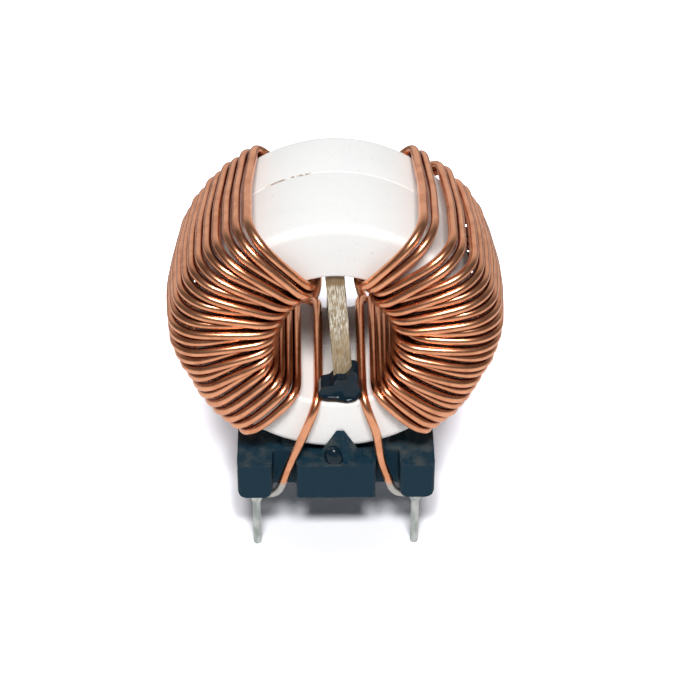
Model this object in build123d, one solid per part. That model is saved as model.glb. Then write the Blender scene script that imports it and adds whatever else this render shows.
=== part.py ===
from build123d import *
import os
from math import asin, cos, degrees, pi, radians, sin, sqrt

# Toroidal common-mode choke, standing upright on four pins. Millimetres.
# +Z is up, the ring's axis lies along Y, and the side with the front wire ends faces -Y.
# The origin is on the ground between the four pins.

# Ring case: two white shells round a sealed core.
case_diameter = 25.0
bore_diameter = 14.3
case_length = 15.0
case_wall = 0.9
seam_offset = 1.3
case_outer_round = 0.8
case_bore_round = 0.35
lap_length = 0.9
lap_clearance = 0.04
core_clearance = 0.15
core_chamfer = 0.5

# Windings: one wire each, laid in slots in the bore.
wire_diameter = 0.74
wire_gap = 0.02
first_turn_angle = 31.5
last_turn_angle = 140.0
first_slot_angle = 14.5
last_slot_angle = 147.0
pair_slot_share = 1.43
rear_angle_shift = 2.0
under_wire_shift = 1.5
left_crossed_turns = (2, 4, 6, 8, 10, 12, 14, 16, 18)
right_crossed_turns = (4, 6, 8, 10, 13, 15, 17, 19, 21)
left_wide_gaps = {}
right_wide_gaps = {2: 4.2, 4: 2.6}
turns = 24
top_front_lift = 1.55
low_front_lift = 0.55
low_lift_start = 84.0
low_lift_end = 112.0
rear_lift = 0.3
side_lift = 1.1
bow_lift = 0.25
side_bow_lift = 0.5
front_bend_radius = 1.9
rear_bend_radius = 1.4
bore_bend_radius = 0.55

# Divider board in the bore.
board_thickness = 1.65
board_inset = 0.5
board_edge_gap = 0.1
board_lean = -3.5
board_offset = 0.34

# Moulded base.
post_width = 3.25
base_lip = 1.3
base_height = 4.05
seat_rise = 0.8
block_width = 7.4
notch_width = 2.25
notch_depth = 2.2
foot_round = 0.9
upright_round = 0.35
cradle_width = 10.0
cradle_depth = 12.4
cradle_side_height = 1.7
cradle_clearance = 0.02
stop_width = 4.6
stop_height = 3.1
stop_tip_width = 0.7
stop_offset = 0.4
stop_gap = 0.1
stop_round = 0.2

# Pins, solder and glue.
pin_diameter = 0.78
pin_neck_diameter = 0.7
pin_length = 6.7
pin_depth_in_base = 2.8
pin_tip_chamfer = 0.12
pin_side_inset = 1.7
pin_end_inset = 1.3
solder_radius = 0.85
solder_height = 1.3
glue_spot_radius = 1.7
glue_spot_offset = 0.45
glue_spot_drop = 5.35
glue_spot_front = 0.55
glue_spot_depth = 2.2
glue_drop_radius = 1.45
glue_drop_rise = 0.35
glue_drop_offset = -0.75

# Wire ends: where each winding's two leads lie.
left_lead_offset = 1.75
right_lead_offset = 2.3
left_lead_spread = 1.25
right_lead_spread = 1.45
lead_mid_drop = 4.0
lead_block_clearance = 0.06
lead_stand_off = 0.35
rear_lead_stand_off = 1.2

case_radius = case_diameter / 2
bore_radius = bore_diameter / 2
half_length = case_length / 2
wire_radius = wire_diameter / 2
wire_pitch = wire_diameter + wire_gap
base_width = block_width + 2 * (notch_width + post_width)
base_depth = case_length + 2 * base_lip
pin_spacing_x = base_width - 2 * pin_side_inset
pin_spacing_y = base_depth - 2 * pin_end_inset
base_top = pin_length + base_height
ring_height = base_top + seat_rise + case_radius
notch_centre = (block_width + notch_width) / 2
post_inner_side = block_width / 2 + notch_width
front_face = base_depth / 2


def ring_piece(profile):
    """Revolve a (radius, axial) profile about the ring's axis and lift it to its height."""
    return revolve(profile, Axis.Y, 360).moved(Location((0, 0, ring_height)))


def half_shell(closed_end, seam, tongue):
    """One shell of the case: end wall, outer wall and bore wall, with a lap at the seam.

    closed_end is the axial place of the end wall, seam that of the joint line. A tongue shell
    carries the inner half of the lap on its outer wall, the other shell has the matching step.
    """
    way = 1 if seam > closed_end else -1
    middle = (case_radius + bore_radius) / 2
    wide = case_radius - bore_radius
    depth = abs(seam - closed_end)
    outline = Rectangle(wide, depth).moved(Location((middle, (closed_end + seam) / 2)))
    end_corners = outline.vertices().group_by(Axis.Y)[0 if way > 0 else -1].sort_by(Axis.X)
    outline = fillet(end_corners[1], case_outer_round)
    bore_corner = outline.vertices().sort_by_distance(Vector(bore_radius, closed_end))[0]
    outline = fillet(bore_corner, case_bore_round)
    hollow_depth = depth - case_wall
    hollow_middle = closed_end + way * (case_wall + hollow_depth / 2)
    hollow = Rectangle(wide - 2 * case_wall, hollow_depth).moved(Location((middle, hollow_middle)))
    section = outline - hollow
    step = case_wall / 2
    lap_middle = seam + (lap_length / 2) * (way if tongue else -way)
    lap_radius = case_radius - case_wall + step / 2
    if tongue:
        lap = Rectangle(step - lap_clearance, lap_length - lap_clearance)
        lap_place = Location((lap_radius - lap_clearance / 2, lap_middle - way * lap_clearance / 2))
        section = section + lap.moved(lap_place)
    else:
        lap = Rectangle(step, lap_length)
        section = section - lap.moved(Location((lap_radius, lap_middle)))
    return ring_piece(section)


def ferrite_core():
    """The magnetic ring inside the case, with chamfered edges."""
    inset = case_wall + core_clearance
    wide = case_radius - bore_radius - 2 * inset
    section = Rectangle(wide, case_length - 2 * inset)
    section = chamfer(section.vertices(), core_chamfer)
    middle = (case_radius + bore_radius) / 2
    return ring_piece(section.moved(Location((middle, 0))))


def smooth_step(value, start, end):
    """A smooth rise from 0 at start to 1 at end."""
    share = min(max((value - start) / (end - start), 0.0), 1.0)
    return share * share * (3 - 2 * share)


def turn_angles(wide_gaps):
    """Angle from the top at which each turn passes the case's front outer edge."""
    extra = sum(wide_gaps.values())
    pitch = (last_turn_angle - first_turn_angle - extra) / (turns - 1)
    angles = []
    angle = first_turn_angle
    for turn in range(1, turns + 1):
        angles.append(angle)
        angle += pitch + wide_gaps.get(turn, 0.0)
    return angles


def bore_slots(crossed_turns):
    """Angle and layer of each turn in the bore.

    A crossed turn rides over the next one, and the two share a slot. The rest lie side by side.
    """
    shares = []
    members = []
    turn = 1
    while turn <= turns:
        paired = turn in crossed_turns
        shares.append(pair_slot_share if paired else 1.0)
        members.append((turn, turn + 1) if paired else (turn,))
        turn += 2 if paired else 1
    spans = [(before + after) / 2 for before, after in zip(shares, shares[1:])]
    unit = (last_slot_angle - first_slot_angle) / sum(spans)
    places = {}
    angle = first_slot_angle
    for index, group in enumerate(members):
        over = len(group) == 2
        places[group[0]] = (angle, 1 if over else 0)
        if over:
            places[group[1]] = (angle + under_wire_shift, 0)
        if index < len(spans):
            angle += unit * spans[index]
    return [places[turn] for turn in range(1, turns + 1)]


def ring_point(side, radius, angle, axial):
    """A point at a radius from the ring's axis and an angle from the top, on one side."""
    across = side * radius * sin(radians(angle))
    up = ring_height + radius * cos(radians(angle))
    return Vector(across, axial, up)


def lead_corners(side, front):
    """Route of one wire end: from the pin, round the post's foot, through the notch and up the ring's face."""
    face = -1 if front else 1
    offset = left_lead_offset if side < 0 else right_lead_offset
    spread = left_lead_spread if side < 0 else right_lead_spread
    stand_off = lead_stand_off if front else rear_lead_stand_off
    pin_x = side * pin_spacing_x / 2
    pin_y = face * pin_spacing_y / 2
    pin_side = pin_x - side * (pin_diameter / 2 + wire_gap)
    # The wire wraps the rounded foot of the post on two tangent vertices.
    wrap = foot_round + wire_radius + wire_gap
    centre_x = post_inner_side + foot_round
    centre_z = pin_length + foot_round
    out = wrap / cos(pi / 8)
    short = out * sin(pi / 8)
    notch_y = face * (half_length + wire_radius + lead_stand_off)
    face_y = face * (half_length + wire_radius + stand_off)
    edge_z = ring_height - sqrt(bore_radius**2 - offset**2)
    block_side = block_width / 2 + wire_radius + lead_block_clearance
    points = [
        (Vector(pin_side, pin_y, centre_z - wrap), 0.0),
        (Vector(side * (centre_x - short), pin_y, centre_z - wrap), 0.0),
        (Vector(side * (centre_x - wrap), notch_y, centre_z - short), 0.0),
        (Vector(side * block_side, notch_y, base_top), 2.0),
        (Vector(side * (offset + spread), face_y, edge_z - lead_mid_drop), 3.0),
    ]
    if front:
        points.append((Vector(side * offset, face_y, edge_z + wire_radius), bore_bend_radius))
    else:
        points.append((Vector(side * offset, face_y, edge_z + 2 * wire_radius), 3.0))
    return points


def winding_corners(side):
    """Every corner of one winding's wire, with its bend radius, from front pin to rear pin."""
    crossed = left_crossed_turns if side < 0 else right_crossed_turns
    wide_gaps = left_wide_gaps if side < 0 else right_wide_gaps
    lead_offset = left_lead_offset if side < 0 else right_lead_offset
    outer = turn_angles(wide_gaps)
    slots = bore_slots(crossed)
    face = half_length + wire_radius
    bore_line = bore_radius - wire_radius - wire_gap
    lead_angle = 180 - degrees(asin(lead_offset / bore_line))
    corners = lead_corners(side, True)
    corners.append((ring_point(side, bore_line, lead_angle, face + wire_gap), bore_bend_radius))
    for turn in reversed(range(turns)):
        angle = outer[turn]
        slot, layer = slots[turn]
        flank = sin(radians(angle)) ** 6
        drop = smooth_step(angle, low_lift_start, low_lift_end)
        front_lift = top_front_lift + (low_front_lift - top_front_lift) * drop
        back_lift = rear_lift + side_lift * flank
        bow = bow_lift + side_bow_lift * flank
        line = case_radius + wire_radius
        middle = line + (front_lift + back_lift) / 2 + bow
        front_y = face + 0.12 + layer * wire_pitch * 0.8
        rear_y = face + 0.12
        bore_r = bore_line - layer * wire_pitch
        bore_y = face + wire_gap + layer * wire_pitch
        rear_angle = angle + rear_angle_shift
        corners.append((ring_point(side, line + back_lift, rear_angle, rear_y), rear_bend_radius))
        corners.append((ring_point(side, middle, rear_angle, 0.0), 0.0))
        corners.append((ring_point(side, line + front_lift, angle, -front_y), front_bend_radius))
        corners.append((ring_point(side, bore_r, slot, -bore_y), bore_bend_radius))
        corners.append((ring_point(side, bore_r, slot, bore_y), bore_bend_radius))
    corners += reversed(lead_corners(side, False))
    return corners


def rounded_path(corners):
    """Replace each corner that has a bend radius by two chords of its arc."""
    points = [corners[0][0]]
    for (before, _), (corner, radius), (after, _) in zip(corners, corners[1:], corners[2:]):
        back = (before - corner).normalized()
        ahead = (after - corner).normalized()
        half_turn = radians(180 - back.get_angle(ahead)) / 2
        room = 0.46 * min((before - corner).length, (after - corner).length)
        reach = min(radius * sin(half_turn) / cos(half_turn), room)
        if reach < 0.05:
            points.append(corner)
            continue
        bend = reach * cos(half_turn) / sin(half_turn)
        bisector = (back + ahead).normalized()
        middle = corner + bisector * (bend / cos(half_turn) - bend)
        points += [corner + back * reach, middle, corner + ahead * reach]
    points.append(corners[-1][0])
    return points


def wire_solid(path, radius):
    """An eight-sided wire along a path, mitred at each point, as one closed solid."""
    sides = 8
    ways = [(after - before).normalized() for before, after in zip(path, path[1:])]
    across = ways[0].cross(Vector(0, 0, 1))
    if across.length < 0.1:
        across = ways[0].cross(Vector(0, 1, 0))
    across = across.normalized()
    upright = ways[0].cross(across).normalized()
    first = []
    for index in range(sides):
        angle = 2 * pi * (index + 0.5) / sides
        offset = across * (radius * cos(angle)) + upright * (radius * sin(angle))
        first.append(path[0] + offset)
    rings = [first]
    for index in range(1, len(path)):
        way = ways[index - 1]
        if index < len(ways):
            normal = (way + ways[index]).normalized()
        else:
            normal = way
        ring = []
        for corner in rings[-1]:
            travel = (path[index] - corner).dot(normal) / way.dot(normal)
            ring.append(corner + way * travel)
        rings.append(ring)
    faces = [Face(Wire.make_polygon(rings[0])), Face(Wire.make_polygon(rings[-1]))]
    for near, far in zip(rings, rings[1:]):
        for index in range(sides):
            following = (index + 1) % sides
            quad = [near[index], near[following], far[following], far[index]]
            faces.append(Face(Wire.make_polygon(quad)))
    return Solid(Shell(faces))


def divider_board():
    """The fibreglass board on edge in the bore, leaning a little."""
    corner_reach = abs(board_offset) + board_thickness / 2
    board_height = 2 * (sqrt(bore_radius**2 - corner_reach**2) - board_edge_gap)
    board = Box(board_thickness, case_length - 2 * board_inset, board_height)
    return Location((board_offset, 0, ring_height), (0, board_lean, 0)) * board


def pin_places():
    """Name and centre of each pin."""
    places = {}
    for row, face in (("front", -1), ("rear", 1)):
        for hand, side in (("left", -1), ("right", 1)):
            places[f"{row}_{hand}"] = (side * pin_spacing_x / 2, face * pin_spacing_y / 2)
    return places


def pin(place):
    """A round pin with a chamfered tip and a slimmer neck that is soldered and moulded into its post."""
    stem_length = pin_length - solder_height
    stem = Cylinder(pin_diameter / 2, stem_length)
    stem = chamfer(stem.edges().group_by(Axis.Z)[0], pin_tip_chamfer)
    neck_length = solder_height + pin_depth_in_base
    neck = Cylinder(pin_neck_diameter / 2, neck_length)
    stem = stem.moved(Location((place[0], place[1], stem_length / 2)))
    return stem + neck.moved(Location((place[0], place[1], stem_length + neck_length / 2)))


def solder_joint(place, wire_end):
    """A solder cone under the post, round the pin and the wire end."""
    top = solder_radius
    low = pin_diameter / 2 + 0.08
    with BuildSketch(Plane.XZ) as section:
        with BuildLine():
            Line((0, 0), (top, 0))
            Line((top, 0), (top, -solder_height * 0.2))
            TangentArc((top, -solder_height * 0.2), (low, -solder_height), tangent=(-0.35, -1))
            Line((low, -solder_height), (0, -solder_height))
            Line((0, -solder_height), (0, 0))
        make_face()
    cone = revolve(section.sketch, Axis.Z, 360).moved(Location((place[0], place[1], pin_length)))
    shaft = Cylinder(pin_neck_diameter / 2, 4 * solder_height)
    cone = cone - shaft.moved(Location((place[0], place[1], pin_length)))
    return cone - wire_end


def stop_wedge(face):
    """The pointed stop that stands in front of the ring's face, sloping to the base's edge."""
    inner_y = face * (half_length + stop_gap)
    outer_y = face * (front_face - 0.05)
    foot_z = base_top - 0.2
    left = stop_offset - stop_width / 2
    right = stop_offset + stop_width / 2
    foot = Polyline((left, inner_y), (right, inner_y), (stop_offset + stop_width / 5, outer_y), close=True)
    tip_depth = inner_y + face * 0.35
    half_tip = stop_tip_width / 2
    tip = Polyline(
        (stop_offset - half_tip, inner_y),
        (stop_offset + half_tip, inner_y),
        (stop_offset + half_tip / 2, tip_depth),
        close=True,
    )
    foot_face = make_face(foot).moved(Location((0, 0, foot_z)))
    tip_face = make_face(tip).moved(Location((0, 0, base_top + stop_height)))
    wedge = loft([foot_face, tip_face], ruled=True)
    front_ridge = wedge.edges().filter_by(Axis.Z, reverse=True)
    ridges = [edge for edge in front_ridge if abs(edge.center().Y) > half_length + stop_gap + 0.1]
    steep = [edge for edge in ridges if edge.bounding_box().size.Z > stop_height / 2]
    return fillet(steep, stop_round)


def base():
    """The moulded base: posts, notches, cradle, stops and pin holes."""
    plan = Rectangle(base_width, base_depth)
    for side in (-1, 1):
        for face in (-1, 1):
            middle = face * (front_face - notch_depth / 2)
            notch = Rectangle(notch_width, notch_depth)
            plan = plan - notch.moved(Location((side * notch_centre, middle)))
    plan = fillet(plan.vertices(), upright_round)
    body = extrude(plan, base_height).moved(Location((0, 0, pin_length)))
    # Each post's foot is rounded where the wire end runs round it.
    for side in (-1, 1):
        for edge_x, inward in ((base_width / 2, -1), (post_inner_side, 1)):
            centre_x = side * (edge_x + inward * foot_round)
            corner = Box(foot_round, base_depth + 2, foot_round)
            corner_x = side * (edge_x + inward * foot_round / 2)
            corner = corner.moved(Location((corner_x, 0, pin_length + foot_round / 2)))
            rod = Cylinder(foot_round, base_depth + 4, rotation=(90, 0, 0))
            corner = corner - rod.moved(Location((centre_x, 0, pin_length + foot_round)))
            reach = notch_depth + 1.0
            for face in (-1, 1):
                zone = Box(4 * foot_round, reach, 3 * foot_round)
                zone = zone.moved(Location((centre_x, face * (front_face - reach / 2 + 0.5), pin_length)))
                body = body - (corner & zone)
    cradle = Box(cradle_width, cradle_depth, cradle_side_height + 0.5)
    cradle = cradle.moved(Location((0, 0, base_top + (cradle_side_height - 0.5) / 2)))
    ring = Cylinder(case_radius + cradle_clearance, 2 * case_length, rotation=(90, 0, 0))
    cradle = cradle - ring.moved(Location((0, 0, ring_height)))
    body = body + cradle
    for face in (-1, 1):
        body = body + stop_wedge(face)
    for place in pin_places().values():
        hole = Cylinder(pin_neck_diameter / 2, pin_depth_in_base + 1)
        hole_middle = pin_length + (pin_depth_in_base - 1) / 2
        body = body - hole.moved(Location((place[0], place[1], hole_middle)))
    return body


def ring_envelope():
    """The case's outer form as one closed ring, used to seat the glue against it."""
    section = Rectangle(case_radius - bore_radius, case_length)
    middle = (case_radius + bore_radius) / 2
    return ring_piece(section.moved(Location((middle, 0))))


def divider_glue(face, board, case):
    """A domed spot of epoxy at the board's foot, half in the bore and half on the face."""
    radius = glue_spot_radius
    front = half_length + glue_spot_front
    back = half_length - glue_spot_depth
    with BuildSketch() as section:
        with BuildLine():
            Line((0, back), (radius * 0.9, back))
            Line((radius * 0.9, back), (radius, half_length - 0.3))
            Spline(
                (radius, half_length - 0.3),
                (radius * 0.75, half_length + glue_spot_front * 0.72),
                (0, front),
                tangents=((0, 1), (-1, 0)),
            )
            Line((0, front), (0, back))
        make_face()
    spot = revolve(section.sketch, Axis.Y, 360)
    if face < 0:
        spot = mirror(spot, Plane.XZ)
    spot = spot.moved(Location((glue_spot_offset, 0, ring_height - glue_spot_drop)))
    spot = spot - case - board
    return spot.solids().sort_by(SortBy.VOLUME)[-1]


def base_glue(face, case, carrier):
    """A round drop of epoxy between the ring, the stop and the base's edge."""
    drop_y = face * (front_face - glue_drop_radius - 0.06)
    drop = Sphere(glue_drop_radius)
    drop = drop.moved(Location((stop_offset + glue_drop_offset, drop_y, base_top + glue_drop_rise)))
    drop = drop - case - carrier
    return drop.solids().sort_by(SortBy.VOLUME)[-1]


def all_pieces():
    """Every piece by name."""
    case = ring_envelope()
    board = divider_board()
    carrier = base()
    paths = {"left": rounded_path(winding_corners(-1)), "right": rounded_path(winding_corners(1))}
    # The wire ends that the solder holds, out to the octagon's corners.
    end_radius = wire_radius / cos(pi / 8)
    ends = {}
    for hand, path in paths.items():
        ends[f"front_{hand}"] = wire_solid(path[:3], end_radius)
        ends[f"rear_{hand}"] = wire_solid(path[-3:], end_radius)
    pieces = {
        "base": carrier,
        "case_front_shell": half_shell(-half_length, seam_offset, False),
        "case_rear_shell": half_shell(half_length, seam_offset, True),
        "ferrite_core": ferrite_core(),
        "winding_left": wire_solid(paths["left"], wire_radius),
        "winding_right": wire_solid(paths["right"], wire_radius),
        "divider_board": board,
        "glue_divider_front": divider_glue(-1, board, case),
        "glue_divider_rear": divider_glue(1, board, case),
        "glue_base_front": base_glue(-1, case, carrier),
        "glue_base_rear": base_glue(1, case, carrier),
    }
    for name, place in pin_places().items():
        pieces[f"pin_{name}"] = pin(place)
        pieces[f"solder_{name}"] = solder_joint(place, ends[name])
    return pieces


os.makedirs("parts", exist_ok=True)
for node, shape in all_pieces().items():
    export_step(shape, f"parts/{node}.step")
    print(node, len(shape.solids()), round(shape.volume, 3), shape.is_valid)
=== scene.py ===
"""Finished scene of a toroidal common-mode choke that stands upright on four pins.

Pieces are worked out in millimetres in the part's own frame: +Z up, the ring's axis along Y and
the side with the front wire ends at -Y. They become metres when their mesh is made.
"""
import logging
from collections.abc import Sequence
from dataclasses import dataclass
from enum import IntEnum
from math import asin, cos, degrees, pi, radians, sin, sqrt

import bmesh
import bpy
import numpy as np
from mathutils import Matrix, Vector


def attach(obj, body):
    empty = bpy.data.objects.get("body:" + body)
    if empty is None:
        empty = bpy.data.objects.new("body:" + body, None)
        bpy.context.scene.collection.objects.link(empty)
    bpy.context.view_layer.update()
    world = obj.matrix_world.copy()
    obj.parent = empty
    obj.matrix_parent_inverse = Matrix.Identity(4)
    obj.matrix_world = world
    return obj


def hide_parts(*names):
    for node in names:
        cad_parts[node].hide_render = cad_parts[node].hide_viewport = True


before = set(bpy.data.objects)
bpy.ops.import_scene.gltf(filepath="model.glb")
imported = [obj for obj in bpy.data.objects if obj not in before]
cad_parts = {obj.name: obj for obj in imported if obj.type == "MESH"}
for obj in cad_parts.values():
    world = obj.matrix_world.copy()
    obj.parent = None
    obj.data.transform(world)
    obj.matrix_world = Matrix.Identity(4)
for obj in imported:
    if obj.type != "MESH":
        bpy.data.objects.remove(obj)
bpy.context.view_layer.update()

METRES = 0.001
CREASE = 40.0

Array = np.ndarray
Colour = tuple[float, float, float]
log = logging.getLogger("choke")


# Shader maths


class Signal:
    """A value that runs through a shader tree and can be reckoned with like a number."""

    def __init__(self, tree: bpy.types.NodeTree, socket: bpy.types.NodeSocket) -> None:
        """Wraps one output socket of a tree."""
        self.tree = tree
        self.socket = socket

    def reckon(self, operation: str, *operands: "Signal | float", clamp: bool = False) -> "Signal":
        """Feeds operands to a Math node.

        Args:
            operation: the node's operation.
            operands: what goes in, in order.
            clamp: keeps the result from 0 to 1.

        Returns:
            The node's result.
        """
        node = self.tree.nodes.new("ShaderNodeMath")
        node.operation = operation
        node.use_clamp = clamp
        for entry, operand in zip(node.inputs, operands):
            plug(self.tree, entry, operand)
        return Signal(self.tree, node.outputs[0])

    def __add__(self, other: "Signal | float") -> "Signal":
        """Sum."""
        return self.reckon("ADD", self, other)

    def __radd__(self, other: float) -> "Signal":
        """Sum with a plain number on the left."""
        return self.reckon("ADD", other, self)

    def __sub__(self, other: "Signal | float") -> "Signal":
        """Difference."""
        return self.reckon("SUBTRACT", self, other)

    def __rsub__(self, other: float) -> "Signal":
        """Difference with a plain number on the left."""
        return self.reckon("SUBTRACT", other, self)

    def __mul__(self, other: "Signal | float") -> "Signal":
        """Product."""
        return self.reckon("MULTIPLY", self, other)

    def __rmul__(self, other: float) -> "Signal":
        """Product with a plain number on the left."""
        return self.reckon("MULTIPLY", other, self)

    def __truediv__(self, other: "Signal | float") -> "Signal":
        """Quotient."""
        return self.reckon("DIVIDE", self, other)

    def __rtruediv__(self, other: float) -> "Signal":
        """Quotient with a plain number on the left."""
        return self.reckon("DIVIDE", other, self)

    def __abs__(self) -> "Signal":
        """Size without its sign."""
        return self.reckon("ABSOLUTE", self)

    def rise(self, start: float, end: float) -> "Signal":
        """A smooth step, s * s * (3 - 2 * s) for the share s of the way from start to end.

        Args:
            start: where the step is 0.
            end: where it is 1, which may be the lower of the two.

        Returns:
            The step, from 0 to 1.
        """
        low, high = min(start, end), max(start, end)
        share = self.reckon("DIVIDE", self - low, high - low, clamp=True)
        step = share * share * (3.0 - 2.0 * share)
        return step if end > start else 1.0 - step

    def band(self, centre: float, half_width: float, edge: float) -> "Signal":
        """1 within half_width of centre, falling to 0 over the edge."""
        return abs(self - centre).rise(half_width + edge, half_width)


def plug(tree: bpy.types.NodeTree, entry: bpy.types.NodeSocket, value: object) -> None:
    """Links a signal to an input socket, or writes a plain value or colour on it.

    Args:
        tree: the shader tree that holds the socket.
        entry: the input socket.
        value: the signal, number or colour for it.
    """
    if isinstance(value, Signal):
        tree.links.new(value.socket, entry)
    elif entry.type == "RGBA" and len(value) == 3:
        entry.default_value = (*value, 1.0)
    else:
        entry.default_value = value


class Shade:
    """One material's shader tree: its Principled shader and the place on the piece in mm."""

    def __init__(self, name: str) -> None:
        """Starts a material with its Principled shader.

        Args:
            name: the material's name.
        """
        self.material = bpy.data.materials.new(name)
        self.material.use_nodes = True
        self.tree = self.material.node_tree
        self.surface = self.tree.nodes["Principled BSDF"]
        spot = self.node("ShaderNodeTexCoord", output="Object")
        self.place = self.node(
            "ShaderNodeVectorMath",
            settings={"operation": "SCALE"},
            inputs={0: spot, "Scale": 1 / METRES},
        )
        self.x = self.node("ShaderNodeSeparateXYZ", output="X", inputs={0: self.place})
        self.y = self.node("ShaderNodeSeparateXYZ", output="Y", inputs={0: self.place})
        self.z = self.node("ShaderNodeSeparateXYZ", output="Z", inputs={0: self.place})

    def node(
        self,
        kind: str,
        output: "int | str" = 0,
        settings: "dict | None" = None,
        inputs: "dict | None" = None,
    ) -> Signal:
        """Adds any node to the tree.

        Args:
            kind: the node's type.
            output: which of its outputs is wanted.
            settings: its own properties.
            inputs: what goes into its sockets, by name or number.

        Returns:
            The wanted output.
        """
        node = self.tree.nodes.new(kind)
        for name, value in (settings or {}).items():
            setattr(node, name, value)
        for name, value in (inputs or {}).items():
            plug(self.tree, node.inputs[name], value)
        return Signal(self.tree, node.outputs[output])

    def noise(self, size: float, detail: float = 2.0, stretch: Colour = (1, 1, 1)) -> Signal:
        """Cloudy noise from 0 to 1.

        Args:
            size: width of its patches in mm.
            detail: octaves of finer noise on top.
            stretch: how many times longer the patches are along X, Y and Z.

        Returns:
            The noise.
        """
        scale = tuple(1 / (size * part) for part in stretch)
        spot = self.node(
            "ShaderNodeVectorMath",
            settings={"operation": "MULTIPLY"},
            inputs={0: self.place, 1: scale},
        )
        return self.node("ShaderNodeTexNoise", inputs={"Vector": spot, "Scale": 1.0, "Detail": detail})

    def blend(
        self, share: "Signal | float", first: "Signal | Colour", second: "Signal | Colour"
    ) -> Signal:
        """The first colour, turning into the second as the share goes from 0 to 1."""
        return self.node(
            "ShaderNodeMix",
            output=2,
            settings={"data_type": "RGBA"},
            inputs={0: share, 6: first, 7: second},
        )

    def bump(self, height: Signal, depth: float, strength: float = 1.0) -> None:
        """Raises the surface by a height from 0 to 1 times a depth in mm."""
        lean = self.node(
            "ShaderNodeBump",
            inputs={"Height": height, "Distance": depth * METRES, "Strength": strength},
        )
        plug(self.tree, self.surface.inputs["Normal"], lean)

    def finish(self, **values: object) -> bpy.types.Material:
        """Sets sockets of the Principled shader.

        Args:
            values: what goes on each socket, named with underscores for spaces.

        Returns:
            The material.
        """
        for name, value in values.items():
            label = name.replace("_", " ").title().replace("Ior", "IOR")
            plug(self.tree, self.surface.inputs[label], value)
        return self.material


# Finishes


@dataclass(frozen=True)
class CasePlastic:
    """Fine matt white plastic with pale grey grains, odd dark specks and dirt in the seam."""

    white: Colour = (0.88, 0.88, 0.865)
    grain: Colour = (0.74, 0.77, 0.79)
    dirt: Colour = (0.3, 0.17, 0.09)
    grain_size: float = 0.16
    grain_share: float = 0.45
    cloud_size: float = 2.6
    cloud_share: float = 0.2
    speck_size: float = 0.32
    speck_share: float = 0.5
    seam_place: float = 1.3
    seam_width: float = 0.07
    dirt_centre: float = -4.2
    dirt_reach: float = 1.5
    dirt_above: float = 34.0
    dirt_share: float = 0.85

    def material(self) -> bpy.types.Material:
        """Builds the finish.

        Returns:
            Its material.
        """
        shade = Shade("case_plastic")
        fine = shade.noise(self.grain_size, 3.0)
        cloud = shade.noise(self.cloud_size, 3.0)
        grains = fine.rise(0.56, 0.72) * self.grain_share + cloud.rise(0.45, 0.8) * self.cloud_share
        colour = shade.blend(grains, self.white, self.grain)
        specks = shade.noise(self.speck_size, 1.0).rise(0.76, 0.8) * cloud.rise(0.35, 0.6)
        colour = shade.blend(specks * self.speck_share, colour, self.dirt)
        line = shade.y.band(self.seam_place, self.seam_width, 0.12)
        stretch = shade.x.band(self.dirt_centre, self.dirt_reach, 0.8)
        above = shade.z.rise(self.dirt_above, self.dirt_above + 1.0)
        stain = line * stretch * above * shade.noise(0.35, 2.0).rise(0.4, 0.55)
        colour = shade.blend(stain * self.dirt_share, colour, self.dirt)
        shade.bump(fine, 0.02, 0.5)
        return shade.finish(base_color=colour, roughness=0.6, specular_ior_level=0.35)


@dataclass(frozen=True)
class EnamelledCopper:
    """Copper magnet wire under clear enamel, tinned and dull towards its ends; painted shade between
    turns.
    """

    copper: Colour = (0.94, 0.43, 0.235)
    deep: Colour = (0.6, 0.2, 0.085)
    painted_crevice_shade: Colour = (0.13, 0.03, 0.02)
    crevice: float = 0.6
    tin: Colour = (0.56, 0.54, 0.5)
    tinned_below: float = 7.9
    tin_edge: float = 0.9
    roughness: float = 0.27
    tin_roughness: float = 0.42
    enamel: float = 0.05
    streak_size: float = 1.4
    streak_share: float = 0.5

    def material(self) -> bpy.types.Material:
        """Builds the finish.

        Returns:
            Its material.
        """
        shade = Shade("enamelled_copper")
        streak = shade.noise(self.streak_size, 2.0)
        colour = shade.blend(streak.rise(0.35, 0.75) * self.streak_share, self.copper, self.deep)
        # Painted shade: where ambient occlusion finds other wire within the crevice distance, the colour
        # turns dark brown, standing in for the shade between turns.
        nearness = shade.node(
            "ShaderNodeAmbientOcclusion",
            output="AO",
            settings={"samples": 8, "only_local": True},
            inputs={"Distance": self.crevice * METRES},
        )
        colour = shade.blend(nearness.rise(0.9, 0.35), colour, self.painted_crevice_shade)
        ragged = shade.z + shade.noise(0.5, 2.0) * 0.6
        tinned = ragged.rise(self.tinned_below + self.tin_edge, self.tinned_below)
        colour = shade.blend(tinned, colour, self.tin)
        shade.bump(shade.noise(0.14, 2.0), 0.004, 0.6)
        return shade.finish(
            base_color=colour,
            metallic=1.0,
            roughness=self.roughness + tinned * (self.tin_roughness - self.roughness),
            coat_weight=self.enamel - tinned * self.enamel,
            coat_roughness=0.1,
        )


@dataclass(frozen=True)
class TinnedMetal:
    """Dull tinned metal, blotched where it was dipped."""

    name: str
    bright: Colour = (0.62, 0.65, 0.62)
    dull: Colour = (0.36, 0.4, 0.38)
    roughness: float = 0.42
    blotch_size: float = 0.7

    def material(self) -> bpy.types.Material:
        """Builds the finish.

        Returns:
            Its material.
        """
        shade = Shade(self.name)
        blotch = shade.noise(self.blotch_size, 3.0, (1, 1, 2.5))
        colour = shade.blend(blotch.rise(0.35, 0.7), self.bright, self.dull)
        shade.bump(blotch, 0.04, 0.5)
        return shade.finish(base_color=colour, metallic=0.85, roughness=self.roughness)


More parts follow.
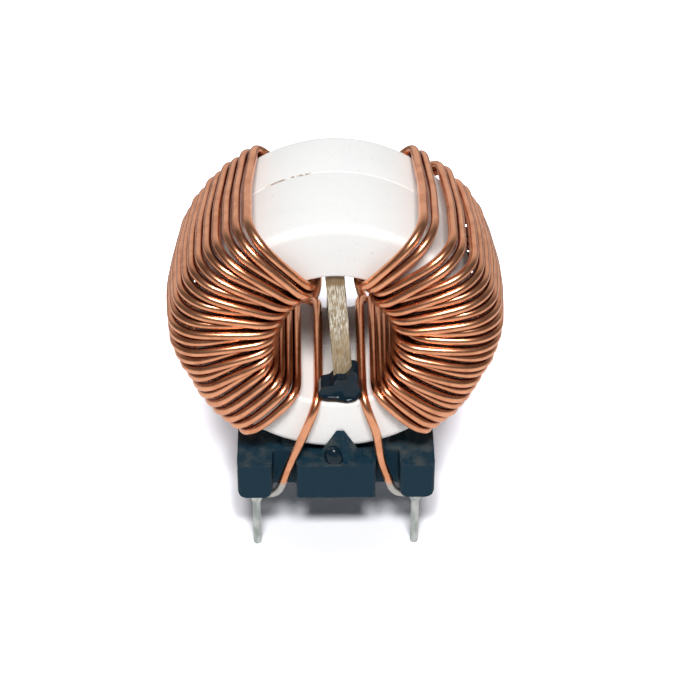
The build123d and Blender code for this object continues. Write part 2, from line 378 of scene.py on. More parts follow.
@dataclass(frozen=True)
class FibreglassEdge:
    """Sawn edge of glass-fibre board: tan resin with pale frayed fibres along its length, and painted
    shadow at its top.
    """

    resin: Colour = (0.34, 0.235, 0.115)
    brown_and_shadow: Colour = (0.17, 0.105, 0.045)
    fibre: Colour = (0.74, 0.7, 0.6)
    strand_size: float = 0.085
    cloud_size: float = 0.5
    frayed_above: float = 24.4
    frayed_share: float = 0.6
    plain_share: float = 0.3
    shadow_band_above: float = 30.0
    brown_and_shadow_share: float = 0.6

    def material(self) -> bpy.types.Material:
        """Builds the finish.

        Returns:
            Its material.
        """
        shade = Shade("fibreglass_edge")
        strands = shade.noise(self.strand_size, 3.0, (1, 1, 9))
        broad = shade.noise(self.cloud_size, 2.0, (1, 1, 5))
        colour = shade.blend(broad.rise(0.4, 0.7) * self.brown_and_shadow_share, self.resin, self.brown_and_shadow)
        frayed = (shade.z + broad * 3.0).rise(self.frayed_above, self.frayed_above + 3.0)
        pale = strands.rise(0.44, 0.58) * (self.plain_share + frayed * self.frayed_share) + frayed * 0.1
        # Painted shadow: across the board's top the colour turns dark brown with few pale fibres, for
        # the shade under the case's front edge.
        top = (shade.z + broad * 0.6).rise(self.shadow_band_above, self.shadow_band_above + 0.5)
        colour = shade.blend(pale * (1.0 - top * 0.85), colour, self.fibre)
        colour = shade.blend(top * self.brown_and_shadow_share, colour, self.brown_and_shadow)
        shade.bump(strands, 0.08, 0.8)
        return shade.finish(base_color=colour, roughness=0.6)


@dataclass(frozen=True)
class Epoxy:
    """Glossy blue-black epoxy."""

    black: Colour = (0.003, 0.014, 0.024)

    def material(self) -> bpy.types.Material:
        """Builds the finish.

        Returns:
            Its material.
        """
        shade = Shade("epoxy")
        shade.bump(shade.noise(0.8, 1.0), 0.08, 0.6)
        return shade.finish(base_color=self.black, roughness=0.22, specular_ior_level=0.28)


@dataclass(frozen=True)
class BaseMoulding:
    """Moulded black phenolic with a blue sheen on its sides and pale dust on what faces up."""

    black: Colour = (0.007, 0.029, 0.048)
    dust: Colour = (0.1, 0.1, 0.085)
    dust_level: float = 10.6
    patch_size: float = 1.3
    patch_share: float = 0.45
    grit_size: float = 0.18
    grit_share: float = 0.3
    roughness: float = 0.42
    dust_roughness: float = 0.35

    def material(self) -> bpy.types.Material:
        """Builds the finish.

        Returns:
            Its material.
        """
        shade = Shade("base_moulding")
        dusty = shade.z.rise(self.dust_level - 0.25, self.dust_level + 0.1)
        patches = shade.noise(self.patch_size, 4.0).rise(0.4, 0.75)
        grit = shade.noise(self.grit_size, 2.0).rise(0.55, 0.75)
        share = dusty * (patches * self.patch_share + grit * self.grit_share)
        colour = shade.blend(share, self.black, self.dust)
        shade.bump(shade.noise(0.4, 3.0), 0.03, 0.6)
        roughness = self.roughness + share * self.dust_roughness
        return shade.finish(base_color=colour, roughness=roughness, specular_ior_level=0.13)


# Surfaces


def surface(name: str, points: Array, wrap: tuple[bool, bool], caps: bool = False) -> bpy.types.Object:
    """Makes a mesh of a grid of points.

    Args:
        name: the object's name.
        points: rows by columns by 3, in mm.
        wrap: whether the last row joins the first, and the last column the first.
        caps: closes the first and last row with a flat face each.

    Returns:
        The object, smooth, with its faces outwards.
    """
    rows, columns = points.shape[:2]
    index = np.arange(rows * columns).reshape(rows, columns)
    near = index if wrap[0] else index[:-1]
    far = np.roll(index, -1, axis=0) if wrap[0] else index[1:]
    near_next, far_next = np.roll(near, -1, axis=1), np.roll(far, -1, axis=1)
    if not wrap[1]:
        near, far, near_next, far_next = (part[:, :-1] for part in (near, far, near_next, far_next))
    quads = np.stack([near, near_next, far_next, far], axis=-1).reshape(-1, 4)
    flat = points.reshape(-1, 3) * METRES
    corners = flat[quads]
    middle = corners.mean(axis=1)
    normals = np.cross(corners[:, 2] - corners[:, 0], corners[:, 3] - corners[:, 1])
    faces = quads.tolist()
    if caps:
        faces += [index[0, ::-1].tolist(), index[-1].tolist()]
    if np.einsum("ij,ij->", middle - flat.mean(axis=0), normals) < 0:
        faces = [face[::-1] for face in faces]
    mesh = bpy.data.meshes.new(name)
    mesh.from_pydata(flat.tolist(), [], faces)
    mesh.validate()
    mesh.shade_smooth()
    mesh.set_sharp_from_angle(angle=radians(CREASE))
    piece = bpy.data.objects.new(name, mesh)
    bpy.context.scene.collection.objects.link(piece)
    return piece


def unit(vectors: Array) -> Array:
    """The vectors at length 1."""
    return vectors / np.maximum(np.linalg.norm(vectors, axis=-1, keepdims=True), 1e-9)


def rounded(
    corners: Array, radii: Array, steps: int, closed: bool = False, share: "Array | float" = 0.46
) -> Array:
    """Rounds each corner of a path with an arc.

    An arc leaves its corner at reach = radius * tan(turn / 2) on both sides, at most its share of
    the shorter side. Its points are centre + (u * sin((1 - t) * turn) + w * sin(t * turn)) / sin(turn)
    for t from 0 to 1, where u and w run from the centre to the arc's ends.

    Args:
        corners: the path's corners in order.
        radii: one bend radius a corner.
        steps: points on each arc.
        closed: the path runs round and joins its start.
        share: how much of a side an arc may take, one number or one a corner.

    Returns:
        The points of the rounded path.
    """
    back = np.roll(corners, 1, axis=0) - corners
    ahead = np.roll(corners, -1, axis=0) - corners
    room = share * np.minimum(np.linalg.norm(back, axis=1), np.linalg.norm(ahead, axis=1))
    back, ahead = unit(back), unit(ahead)
    turn = np.maximum(pi - np.arccos(np.clip((back * ahead).sum(axis=1), -1, 1)), 1e-3)
    reach = np.minimum(radii * np.tan(turn / 2), room)[:, None]
    bend = reach / np.tan(turn / 2)[:, None]
    centre = corners + unit(back + ahead) * bend / np.cos(turn / 2)[:, None]
    start = corners + back * reach - centre
    end = corners + ahead * reach - centre
    part = np.linspace(0, 1, steps)[None, :, None]
    sweep = turn[:, None, None]
    arcs = start[:, None] * np.sin((1 - part) * sweep) + end[:, None] * np.sin(part * sweep)
    points = centre[:, None] + arcs / np.sin(sweep)
    if closed:
        return points.reshape(-1, corners.shape[1])
    return np.concatenate([corners[:1], points[1:-1].reshape(-1, corners.shape[1]), corners[-1:]])


def eased(path: Array, spacing: float, reach: float) -> Array:
    """Spreads a path's points evenly and softens its bends.

    Each point becomes the mean of its neighbours within the reach on both sides, with weights that
    fall off as (1 + cos) / 2. The ends stay.

    Args:
        path: the path's points.
        spacing: distance between the new points in mm.
        reach: how far the mean looks in mm.

    Returns:
        The new points.
    """
    length = np.concatenate([[0.0], np.cumsum(np.linalg.norm(np.diff(path, axis=0), axis=1))])
    places = np.linspace(0, length[-1], int(length[-1] / spacing))
    even = np.stack([np.interp(places, length, line) for line in path.T], axis=-1)
    half = int(reach / spacing)
    window = np.hanning(2 * half + 3)[1:-1]
    padded = np.pad(even, ((half, half), (0, 0)), mode="edge")
    window = window / window.sum()
    soft = np.stack([np.convolve(line, window, mode="valid") for line in padded.T], axis=-1)
    soft[0], soft[-1] = path[0], path[-1]
    return soft


def merged_copy(node: str, sharp: float = 30.0, bevel: float = 0.0) -> bpy.types.Object:
    """A copy of a CAD node with its corners merged, smooth except at edges above an angle.

    Args:
        node: the CAD node.
        sharp: the angle in degrees above which an edge stays sharp.
        bevel: width in mm to which those edges are rounded.

    Returns:
        The copy.
    """
    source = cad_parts[node]
    mesh = source.data.copy()
    work = bmesh.new()
    work.from_mesh(mesh)
    bmesh.ops.remove_doubles(work, verts=work.verts, dist=1e-6)
    bmesh.ops.dissolve_limit(work, angle_limit=radians(0.5), verts=work.verts, edges=work.edges)
    work.to_mesh(mesh)
    work.free()
    mesh.shade_smooth()
    mesh.set_sharp_from_angle(angle=radians(sharp))
    mesh.name = f"{node}_finished"
    piece = bpy.data.objects.new(f"{node}_finished", mesh)
    bpy.context.scene.collection.objects.link(piece)
    if bevel:
        rounding = piece.modifiers.new("rounding", "BEVEL")
        rounding.width = bevel * METRES
        rounding.segments = 3
        rounding.limit_method = "ANGLE"
        rounding.angle_limit = radians(sharp)
        rounding.harden_normals = True
    flat = piece.modifiers.new("flat_faces", "WEIGHTED_NORMAL")
    flat.keep_sharp = True
    return piece


def place(piece: bpy.types.Object, material: bpy.types.Material, slot: str, *nodes: str) -> None:
    """Dresses a finished piece and lets it stand for its CAD nodes.

    Args:
        piece: the finished piece.
        material: its material.
        slot: the name of a material slot; not used.
        nodes: the CAD nodes that it replaces.
    """
    piece.data.materials.clear()
    piece.data.materials.append(material)
    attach(piece, "root")
    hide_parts(*nodes)
    log.info("%s: %d faces for %s", piece.name, len(piece.data.polygons), ", ".join(nodes))


# Pieces


class Side(IntEnum):
    """Which side of the ring a winding is on, seen from the front."""

    LEFT = -1
    RIGHT = 1


@dataclass
class RingCase:
    """The white two-part case round the core."""

    radius: float = 12.5
    bore: float = 7.15
    half_length: float = 7.5
    wall: float = 0.9
    seam: float = 1.3
    outer_round: float = 0.8
    bore_round: float = 0.35
    seam_round: float = 0.09
    seam_gap: float = 0.01
    lip_round: float = 0.05
    inside_round: float = 0.2
    height: float = 24.05
    segments: int = 224
    round_steps: int = 7

    def lathe(self, name: str, corners: Sequence[tuple[float, float, float]]) -> bpy.types.Object:
        """Turns a closed profile round the ring's axis: (r sin a, y, height + r cos a).

        Args:
            name: the object's name.
            corners: radius, axial place and rounding of each corner.

        Returns:
            The turned object.
        """
        data = np.array(corners)
        profile = rounded(data[:, :2], data[:, 2], self.round_steps, closed=True)
        angle = np.linspace(0, 2 * pi, self.segments, endpoint=False)[:, None]
        radius, axial = profile[None, :, 0], profile[None, :, 1] + 0 * angle
        points = np.stack([radius * np.sin(angle), axial, self.height + radius * np.cos(angle)], axis=-1)
        return surface(name, points, (True, True))

    def build(self) -> None:
        """Makes both shells, which meet at the seam with a fine groove."""
        plastic = CasePlastic(seam_place=self.seam).material()
        inner, outer = self.bore + self.wall, self.radius - self.wall
        for name, end, way in (("front", -self.half_length, 1), ("rear", self.half_length, -1)):
            closed_end, lip = end + way * self.wall, self.seam - way * self.seam_gap
            corners = [
                (self.bore, end, self.bore_round),
                (self.radius, end, self.outer_round),
                (self.radius, lip, self.seam_round),
                (outer, lip, self.lip_round),
                (outer, closed_end, self.inside_round),
                (inner, closed_end, self.inside_round),
                (inner, lip, self.lip_round),
                (self.bore, lip, self.seam_round),
            ]
            shell = self.lathe(f"{name}_shell_finished", corners)
            place(shell, plastic, "case_plastic", f"case_{name}_shell")


@dataclass
class Winding:
    """One enamelled wire: its leads and its turns, some of which ride up between their neighbours."""

    side: Side
    ring: RingCase
    crossed_turns: tuple[int, ...]
    crossed_step: float
    wide_gaps: dict[int, float]
    lead_offset: float
    lead_spread: float
    wire: float = 0.84
    gap: float = 0.02
    turns: int = 24
    first_angle: float = 31.5
    last_angle: float = 140.0
    first_slot: float = 18.5
    last_slot: float = 146.5
    rear_lead_angle: float = 12.5
    rear_shift: float = 2.0
    top_lift: float = 1.75
    low_lift: float = 0.75
    lift_falls: tuple[float, float] = (84.0, 112.0)
    rear_lift: float = 0.3
    side_lift: float = 1.1
    bow: float = 0.25
    side_bow: float = 0.5
    front_bend: float = 3.6
    front_corner: int = 2
    front_share: float = 0.62
    middle_bend: float = 30.0
    rear_bend: float = 1.4
    edge_reach: float = 0.95
    bore_bend: float = 1.5
    bore_rear_bend: float = 0.8
    crossed_bend: float = 2.0
    bore_reach: float = 0.72
    bore_rear_reach: float = 0.52
    crossing_lift: float = 0.66
    side_crossing_lift: float = 0.4
    crossing_reach: float = 0.64
    rear_crossing_reach: float = 0.8
    rear_crossing_shift: float = 1.4
    rear_outer_share: float = 0.6
    bulge_radius: float = 10.0
    bulge_share: float = 0.6
    bulge: float = 1.2
    crossing_bulge: float = 0.45
    bulge_bend: float = 9.0
    pin_place: float = 7.5
    pin_radius: float = 0.39
    post_side: float = 5.95
    block_side: float = 3.7
    lead_splay: float = 1.04
    lead_clearance: float = 0.06
    foot: float = 6.7
    foot_round: float = 0.9
    base_top: float = 10.75
    mid_drop: float = 4.0
    foot_bend: float = 3.5
    middle_lead_bend: float = 7.0
    lead_bend: float = 2.4
    rear_lead_bend: float = 3.0
    stand_off: float = 0.35
    rear_stand_off: float = 1.2
    sides: int = 16
    steps: int = 9
    spacing: float = 0.32
    softness: float = 1.5
    unevenness: float = 0.1
    middle_wander: float = 3.0
    front_wander: float = 0.7
    bend_share: float = 0.46

    @property
    def wire_radius(self) -> float:
        """Half the wire's thickness."""
        return self.wire / 2

    def outer_angles(self) -> Array:
        """Angle from the top at which each turn passes the case's front edge.

        Returns:
            One angle a turn, in degrees.
        """
        extra = np.array([self.wide_gaps.get(turn, 0.0) for turn in range(1, self.turns)])
        pitch = (self.last_angle - self.first_angle - extra.sum()) / (self.turns - 1)
        return self.first_angle + np.concatenate([[0.0], np.cumsum(pitch + extra)])

    def slots(self, rides: Array) -> Array:
        """Angle of each turn in the bore, with a smaller step where one of two neighbours rides up.

        Args:
            rides: 1 for each turn that rides up, 0 for the others.

        Returns:
            One angle a turn, in degrees.
        """
        steps = np.where(rides[1:] != rides[:-1], self.crossed_step, 1.0)
        reach = np.concatenate([[0.0], np.cumsum(steps) / steps.sum()])
        return self.first_slot + (self.last_slot - self.first_slot) * reach

    def polar(self, radius: "Array | float", angle: Array, axial: "Array | float") -> Array:
        """Points on this side of the ring: (side * r sin a, y, height + r cos a).

        Args:
            radius: distance r from the ring's axis.
            angle: angle a from the top in degrees.
            axial: place y along the axis.

        Returns:
            The points.
        """
        turned = np.radians(angle)
        across = self.side * radius * np.sin(turned)
        up = self.ring.height + radius * np.cos(turned)
        return np.stack([across, axial + 0 * across, up], axis=-1)

    def lead(self, face: int) -> tuple[Array, Array]:
        """Corners and bend radii of one wire end, from its pin up to the ring's hole.

        Args:
            face: -1 for the front end, 1 for the rear one.

        Returns:
            The corners and their radii.
        """
        wire, side = self.wire_radius, int(self.side)
        wrap = self.foot_round + wire + self.gap
        centre_x, centre_z = self.post_side + self.foot_round, self.foot + self.foot_round
        lay = face * (self.ring.half_length + wire + self.stand_off)
        stand_off = self.stand_off if face < 0 else self.rear_stand_off
        out = face * (self.ring.half_length + wire + stand_off)
        edge = self.ring.height - sqrt((self.ring.bore - self.bore_reach) ** 2 - self.lead_offset**2)
        corners = [
            (self.pin_place - self.pin_radius - self.gap, face * self.pin_place, centre_z - wrap),
            (centre_x - wrap, face * self.pin_place * self.lead_splay, centre_z - wrap),
            (self.block_side + wire + self.lead_clearance, lay, self.base_top),
            (self.lead_offset + self.lead_spread, out, edge - self.mid_drop),
            (self.lead_offset, out, edge),
        ]
        top_bend = self.lead_bend if face < 0 else self.rear_lead_bend
        radii = [0.0, wrap, self.foot_bend, self.middle_lead_bend, top_bend]
        return np.array(corners) * (side, 1, 1), np.array(radii)

    def path(self) -> Array:
        """The wire's centre line, from front pin to rear pin.

        Each turn has six corners: rear outer, middle outer, front outer, front bulge, front bore
        and rear bore. flank is sin(angle) to the sixth power, so it is 1 at the ring's side.

        Returns:
            The points of the line, evenly spaced.
        """
        ring = self.ring
        shake = np.random.default_rng(7 + int(self.side))
        numbers = np.arange(1, self.turns + 1)
        rides = np.isin(numbers, self.crossed_turns).astype(float)
        angle, slot = self.outer_angles(), self.slots(rides)
        flank = np.sin(np.radians(angle)) ** 6
        fall = np.clip((angle - self.lift_falls[0]) / (self.lift_falls[1] - self.lift_falls[0]), 0, 1)
        fall = fall * fall * (3 - 2 * fall)
        front_lift = self.top_lift + (self.low_lift - self.top_lift) * fall
        front_lift = front_lift + shake.uniform(-1, 0.3, self.turns) * self.unevenness
        back_lift = self.rear_lift + self.side_lift * flank
        bow = self.bow + self.side_bow * flank
        line, bore_line = ring.radius + self.wire_radius, ring.bore - self.bore_rear_reach
        rear_angle, rear_y = angle + self.rear_shift, ring.half_length + self.bore_rear_reach
        bulge_angle = slot + self.bulge_share * (angle - slot)
        bulge_y = ring.half_length + self.bulge + rides * self.crossing_bulge
        bore_lift = self.crossing_lift + self.side_crossing_lift * flank
        bore_r = ring.bore - self.bore_reach - rides * bore_lift
        bore_y = ring.half_length + self.bore_reach + rides * self.crossing_reach
        rear_slot = np.where(numbers > 1, slot - rides * self.rear_crossing_shift, self.rear_lead_angle)
        rear_reach = rides * self.rear_crossing_reach
        wander = shake.uniform(-1, 1, self.turns) * self.unevenness
        middle_angle = rear_angle + wander * self.middle_wander
        front_angle = angle + wander * self.middle_wander * self.front_wander
        turn_corners = np.stack(
            [
                self.polar(line + back_lift, rear_angle, rear_y + rear_reach * self.rear_outer_share),
                self.polar(line + (front_lift + back_lift) / 2 + bow, middle_angle, 0.0),
                self.polar(line + front_lift, front_angle, -ring.half_length - self.edge_reach),
                self.polar(self.bulge_radius, bulge_angle, -bulge_y),
                self.polar(bore_r, slot, -bore_y),
                self.polar(bore_line - rides * self.crossing_lift, rear_slot, rear_y + rear_reach),
            ],
            axis=1,
        )[::-1]
        outer_bends = [self.rear_bend, self.middle_bend, self.front_bend]
        inner_bends = [self.bulge_bend, self.bore_bend, self.bore_rear_bend]
        turn_radii = np.tile(outer_bends + inner_bends, (self.turns, 1))
        turn_radii[:, 4] += (self.crossed_bend - self.bore_bend) * rides[::-1]
        entry_angle = np.array([180 - degrees(asin(self.lead_offset / bore_line))])
        entry = self.polar(bore_line, entry_angle, rear_y)
        front, front_radii = self.lead(-1)
        rear, rear_radii = self.lead(1)
        corners = np.concatenate([front, entry, turn_corners.reshape(-1, 3), rear[::-1]])
        entry_radius = [self.bore_rear_bend]
        radii = np.concatenate([front_radii, entry_radius, turn_radii.ravel(), rear_radii[::-1]])
        shares = np.full((self.turns, 6), self.bend_share)
        shares[:, self.front_corner] = self.front_share
        shares[:, self.front_corner + 1] = 1 - self.front_share
        shares[:, self.front_corner + 2] = self.front_share
        ends = np.full(len(front) + 1, self.bend_share)
        share = np.concatenate([ends, shares.ravel(), ends[1:]])
        return eased(rounded(corners, radii, self.steps, share=share), self.spacing, self.softness)

    def build(self, material: bpy.types.Material) -> None:
        """Carries a circle along the path.

        A ring of the tube is p + r * (a cos v + b sin v), where a is the direction from p to the
        middle line of the core, made square to the path, and b = path direction x a.

        Args:
            material: the wire's material.
        """
        path = self.path()
        ways = unit(np.diff(path, axis=0))
        along = unit(np.concatenate([ways[:1], ways[1:] + ways[:-1], ways[-1:]]))
        centre = np.array([0, 0, self.ring.height])
        core = centre + unit((path - centre) * (1, 0, 1)) * (self.ring.radius + self.ring.bore) / 2
        inward = core - path
        across = unit(inward - along * (inward * along).sum(axis=1, keepdims=True))
        upright = np.cross(along, across)
        angle = np.linspace(0, 2 * pi, self.sides, endpoint=False)[None, :, None]
        circle = across[:, None] * np.cos(angle) + upright[:, None] * np.sin(angle)
        hand = self.side.name.lower()
        points = path[:, None] + self.wire_radius * circle
        piece = surface(f"wire_{hand}", points, (False, True), caps=True)
        place(piece, material, "copper_wire", f"winding_{hand}")


@dataclass
class DividerBoard:
    """The fibreglass board on edge in the bore, with slightly frayed sawn edges."""

    thickness: float = 1.75
    length: float = 14.0
    height: float = 13.9
    lean: float = -3.9
    turn: float = 2.0
    offset: float = 0.12
    corner: float = 0.12
    fraying: float = 0.025
    levels: int = 70
    seed: int = 3

    def build(self, ring: RingCase) -> None:
        """Carries a rounded rectangle up the board, each point moved by a smooth random amount.

        With x and y of the rectangle and level z, the board leans about Y by (x cos t + z sin t, y,
        z cos t - x sin t) and then turns about Z by (x cos u - y sin u, y cos u + x sin u, z).

        Args:
            ring: the case that holds the board.
        """
        half = np.array([self.thickness, self.length]) / 2 - self.fraying
        corners = half * [(-1, -1), (1, -1), (1, 1), (-1, 1)]
        outline = rounded(corners, np.full(4, self.corner), 5, closed=True)
        level = np.linspace(-0.5, 0.5, self.levels) * self.height
        shake = np.random.default_rng(self.seed).normal(size=(self.levels, len(outline), 2))
        shake = (shake + np.roll(shake, 1, axis=0) + np.roll(shake, 2, axis=0)) / 3
        moved = outline[None] + np.clip(shake, -1, 1) * self.fraying
        tilt = radians(self.lean)
        across = moved[..., 0] * cos(tilt) + level[:, None] * sin(tilt) + self.offset
        up = level[:, None] * cos(tilt) - moved[..., 0] * sin(tilt) + ring.height
        turn = radians(self.turn)
        forward = moved[..., 1] * cos(turn) + across * sin(turn)
        across = across * cos(turn) - moved[..., 1] * sin(turn)
        points = np.stack([across, forward, up], axis=-1)
        piece = surface("board_finished", points, (False, True), caps=True)
        place(piece, FibreglassEdge().material(), "fibreglass", "divider_board")


@dataclass
class GlueSpot:
    """A spot of epoxy that filled a corner and set, with the outline it ran to."""

    node: str
    face: int
    outline: tuple[tuple[float, float], ...]
    middle: tuple[float, float]
    front: float
    back: float
    crown: float = 0.42
    rounding: float = 0.45
    wave: float = 0.09
    rows: int = 26

    def build(self, material: bpy.types.Material) -> None:
        """A low dome over the outline, with a foot that goes straight back.

        At v from 0 to 1 the outline shrinks towards its middle by sqrt(1 - v * v) and the surface
        rises by crown * v. Waves of wave * sin(3.1 x + 0.5) * cos(2.3 z) across the dome make it uneven.

        Args:
            material: the epoxy.
        """
        corners = np.array(self.outline)
        rim = rounded(corners, np.full(len(corners), self.rounding), 7, closed=True)
        v = np.linspace(0, 0.995, self.rows)[:, None]
        shrink = np.concatenate([[[1.0]], np.sqrt(1 - v**2)])
        rise = np.concatenate([[[0.0]], self.back - self.front + self.crown * v])
        flat = np.array(self.middle) + (rim - self.middle)[None] * shrink[..., None]
        waves = self.wave * np.sin(flat[..., 0] * 3.1 + 0.5) * np.cos(flat[..., 1] * 2.3) * (shrink < 1)
        forward = self.face * (self.back - rise - waves * shrink) + 0 * flat[..., 0]
        points = np.stack([flat[..., 0], forward, flat[..., 1]], axis=-1)
        piece = surface(f"{self.node}_finished", points, (False, True), caps=True)
        place(piece, material, "epoxy", self.node)


@dataclass
class GlueDrop:
    """A lumpy drop of epoxy."""

    node: str
    centre: tuple[float, float, float]
    width: float
    depth: float
    height: float
    lumps: tuple[float, ...] = (0.08, 0.06, 0.04)
    phase: float = 0.6
    pole: float = 0.02
    rows: int = 40
    columns: int = 64

    def build(self, material: bpy.types.Material) -> None:
        """A ball stretched to its three sizes, with waves round its rim.

        The point at u round the rim and v from front to back is at half the sizes times
        (k sin v cos u, -cos v, k sin v sin u), with k = 1 + the sum of lump * cos((n + 1) u + phase n)
        for the lumps n = 1, 2, 3.

        Args:
            material: the epoxy.
        """
        u = np.linspace(0, 2 * pi, self.columns, endpoint=False)[None]
        v = np.linspace(self.pole, pi - self.pole, self.rows)[:, None]
        k = 1 + sum(lump * np.cos((n + 1) * u + self.phase * n) for n, lump in enumerate(self.lumps, 1))
        across = k * np.sin(v) * np.cos(u) * self.width / 2
        up = k * np.sin(v) * np.sin(u) * self.height / 2
        forward = -np.cos(v) * self.depth / 2 + 0 * up
        points = np.stack([across, forward, up], axis=-1) + self.centre
        piece = surface(f"{self.node}_finished", points, (False, True), caps=True)
        place(piece, material, "epoxy", self.node)


# Stage, camera and lamps


@dataclass
class Stage:
    """A white floor that keeps the shadow and that the camera sees over-exposed further out."""

    half_size: float = 3.0
    sheet: Colour = (0.8, 0.8, 0.808)
    shown: Colour = (1.0, 1.0, 1.05)
    glare: Colour = (2.5, 2.48, 2.6)
    glare_reach: tuple[float, float] = (9.0, 13.5)
    table: Colour = (0.2, 0.19, 0.18)
    near: float = 60.0
    far: float = 200.0

    def build(self) -> None:
        """Lays the floor, which turns to plain white away from the object."""
        shade = Shade("floor_white")
        rays = shade.tree.nodes.new("ShaderNodeLightPath")
        seen = Signal(shade.tree, rays.outputs["Is Camera Ray"])
        away = shade.node(
            "ShaderNodeVectorMath",
            output=1,
            settings={"operation": "LENGTH"},
            inputs={0: shade.place},
        )
        outer = away.rise(self.near, self.far)
        colour = shade.blend(outer, self.sheet, self.table)
        bright = shade.blend(away.rise(*self.glare_reach), self.shown, self.glare)
        colour = shade.blend(seen, colour, bright)
        matt = shade.node("ShaderNodeBsdfDiffuse", inputs={"Color": colour})
        white = shade.node("ShaderNodeEmission", inputs={"Color": (1.0, 1.0, 1.0), "Strength": 1.0})
        mixed = shade.node("ShaderNodeMixShader", inputs={0: outer * seen, 1: matt, 2: white})
        shade.tree.links.new(mixed.socket, shade.tree.nodes["Material Output"].inputs["Surface"])
        half = self.half_size
        corners = [(-half, -half, 0), (half, -half, 0), (half, half, 0), (-half, half, 0)]
        mesh = bpy.data.meshes.new("floor")
        mesh.from_pydata(corners, [], [(0, 1, 2, 3)])
        mesh.materials.append(shade.material)
        floor = bpy.data.objects.new("floor", mesh)
        bpy.context.scene.collection.objects.link(floor)


@dataclass
class PhotoCamera:
    """The camera of the photo, fitted to the ring's circles."""

    distance: float = 220.0
    lens: float = 120.3
    azimuth: float = -1.151
    elevation: float = 37.668
    roll: float = 0.332
    sensor: float = 36.0
    clip_start: float = 10.0
    target: tuple[float, float, float] = (1.404, 0.0, 17.375)

    def build(self) -> None:
        """Sets the camera up at its distance from the target."""
        turn, rise, roll = radians(self.azimuth), radians(self.elevation), radians(self.roll)
        back = Vector((sin(turn) * cos(rise), -cos(turn) * cos(rise), sin(rise)))
        right = (-back).cross(Vector((0, 0, 1))).normalized()
        up = back.cross(right)
        rolled_right = right * cos(roll) + up * sin(roll)
        rolled_up = up * cos(roll) - right * sin(roll)
        stand = Matrix((rolled_right, rolled_up, back)).transposed().to_4x4()
        stand.translation = (Vector(self.target) + back * self.distance) * METRES
        data = bpy.data.cameras.new("camera")
        data.sensor_width = self.sensor
        data.lens = self.lens
        data.clip_start = self.clip_start * METRES
        camera = bpy.data.objects.new("camera", data)
        camera.matrix_world = stand
        bpy.context.scene.collection.objects.link(camera)
        bpy.context.scene.camera = camera


@dataclass
class Lighting:
    """Two soft lamps high in front, close to each other, in a room that is pale behind the object."""

    azimuth: float = 9.0
    elevation: float = 54.5
    distance: float = 0.7
    lamp_size: float = 0.12
    watts: float = 2.75
    aim_height: float = 20.0
    tint: Colour = (0.97, 0.98, 1.0)
    room: float = 0.12
    fill: float = 0.05
    back: float = 0.75

    def build(self) -> None:
        """Hangs the lamps, then paints the room."""
        self.hang_lamps()
        self.paint_room()

    def hang_lamps(self) -> None:
        """Hangs one lamp on each side, pointed at the object."""
        for side in Side:
            turn, rise = radians(self.azimuth), radians(self.elevation)
            way = Vector((side * sin(turn) * cos(rise), -cos(turn) * cos(rise), sin(rise)))
            name = f"lamp_{side.name.lower()}"
            data = bpy.data.lights.new(name, "AREA")
            data.shape = "DISK"
            data.size = self.lamp_size
            data.energy = self.watts
            lamp = bpy.data.objects.new(name, data)
            lamp.location = way * self.distance + Vector((0, 0, self.aim_height * METRES))
            lamp.rotation_euler = way.to_track_quat("Z", "Y").to_euler()
            bpy.context.scene.collection.objects.link(lamp)

    def paint_room(self) -> None:
        """Makes the world white for the camera, and else pale behind and dim in front.

        The level is room for mirrored rays and fill for diffuse ones, and goes over to back as the
        ray's Y goes from 0.3 to 0.9.
        """
        world = bpy.data.worlds.new("room")
        world.use_nodes = True
        tree = world.node_tree
        coordinates = tree.nodes.new("ShaderNodeTexCoord")
        split = tree.nodes.new("ShaderNodeSeparateXYZ")
        tree.links.new(coordinates.outputs["Generated"], split.inputs[0])
        behind = Signal(tree, split.outputs["Y"]).rise(0.3, 0.9)
        rays = tree.nodes.new("ShaderNodeLightPath")
        seen = Signal(tree, rays.outputs["Is Camera Ray"])
        diffuse = Signal(tree, rays.outputs["Is Diffuse Ray"])
        level = self.room + (self.fill - self.room) * diffuse
        level = level + (self.back - level) * behind
        level = level * (1.0 - seen) + seen
        background = tree.nodes["Background"]
        plug(tree, background.inputs["Color"], self.tint)
        plug(tree, background.inputs["Strength"], level)
        bpy.context.scene.world = world


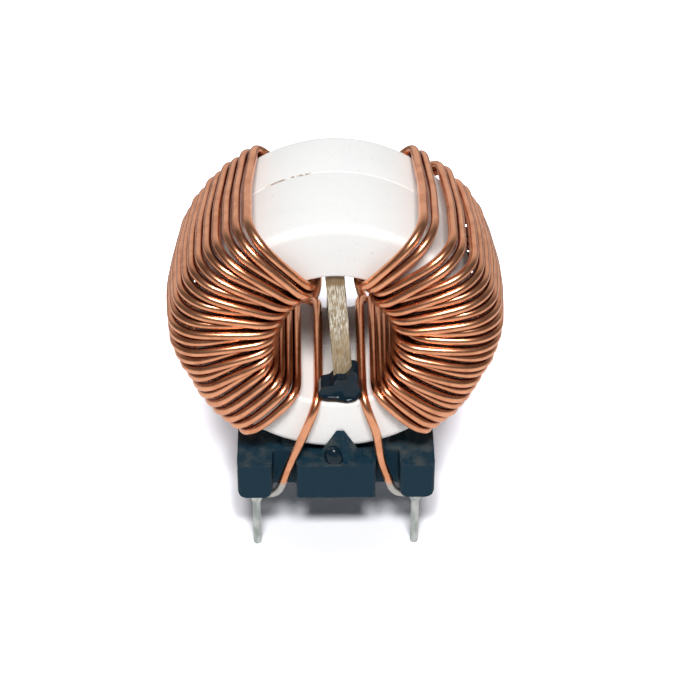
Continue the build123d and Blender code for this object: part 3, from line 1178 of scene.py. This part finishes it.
def main() -> None:
    """Builds every piece in order and reports it."""
    logging.basicConfig(level=logging.INFO, format="%(message)s")
    scene = bpy.context.scene
    scene.view_settings.view_transform = "Standard"
    ring = RingCase()
    ring.build()
    copper = EnamelledCopper().material()
    left = Winding(
        side=Side.LEFT,
        ring=ring,
        crossed_turns=(2, 4, 6, 8, 10, 12, 14, 16, 18),
        crossed_step=0.52,
        wide_gaps={},
        lead_offset=1.6,
        lead_spread=1.4,
    )
    right = Winding(
        side=Side.RIGHT,
        ring=ring,
        crossed_turns=(4, 6, 8, 10, 13, 15, 17, 19, 21),
        crossed_step=0.78,
        wide_gaps={2: 4.2, 4: 2.6},
        lead_offset=2.4,
        lead_spread=1.35,
    )
    left.build(copper)
    right.build(copper)
    DividerBoard().build(ring)
    epoxy = Epoxy().material()
    ragged = (
        (-1.75, 18.1), (-1.3, 19.1), (-0.55, 19.3), (0.0, 20.1), (0.9, 20.0), (1.5, 21.0), (2.1, 20.6),
        (1.95, 19.5), (2.35, 18.4), (1.7, 17.5), (0.9, 17.35), (0.2, 17.75), (-0.8, 17.7),
    )
    plain = ((-0.6, 18.6), (0.1, 18.9), (0.95, 18.6), (1.1, 17.6), (0.2, 17.1), (-0.8, 17.4))
    GlueSpot("glue_divider_front", -1, ragged, (0.6, 18.8), 7.75, 6.0).build(epoxy)
    GlueSpot("glue_divider_rear", 1, plain, (0.2, 18.0), 7.6, 6.0).build(epoxy)
    GlueDrop("glue_base_front", (-0.2, -8.1, 11.2), 1.7, 1.5, 2.3).build(epoxy)
    GlueDrop("glue_base_rear", (-0.2, 8.0, 10.7), 2.7, 1.5, 1.3).build(epoxy)
    place(merged_copy("base", bevel=0.12), BaseMoulding().material(), "base_moulding", "base")
    tin = TinnedMetal("tinned_pin").material()
    solder = TinnedMetal("solder_tin", bright=(0.72, 0.72, 0.68), roughness=0.32).material()
    for corner in ("front_left", "front_right", "rear_left", "rear_right"):
        place(merged_copy(f"pin_{corner}"), tin, "tinned_pin", f"pin_{corner}")
        place(merged_copy(f"solder_{corner}"), solder, "solder", f"solder_{corner}")
    Stage().build()
    PhotoCamera().build()
    Lighting().build()


if __name__ == "__main__":
    main()
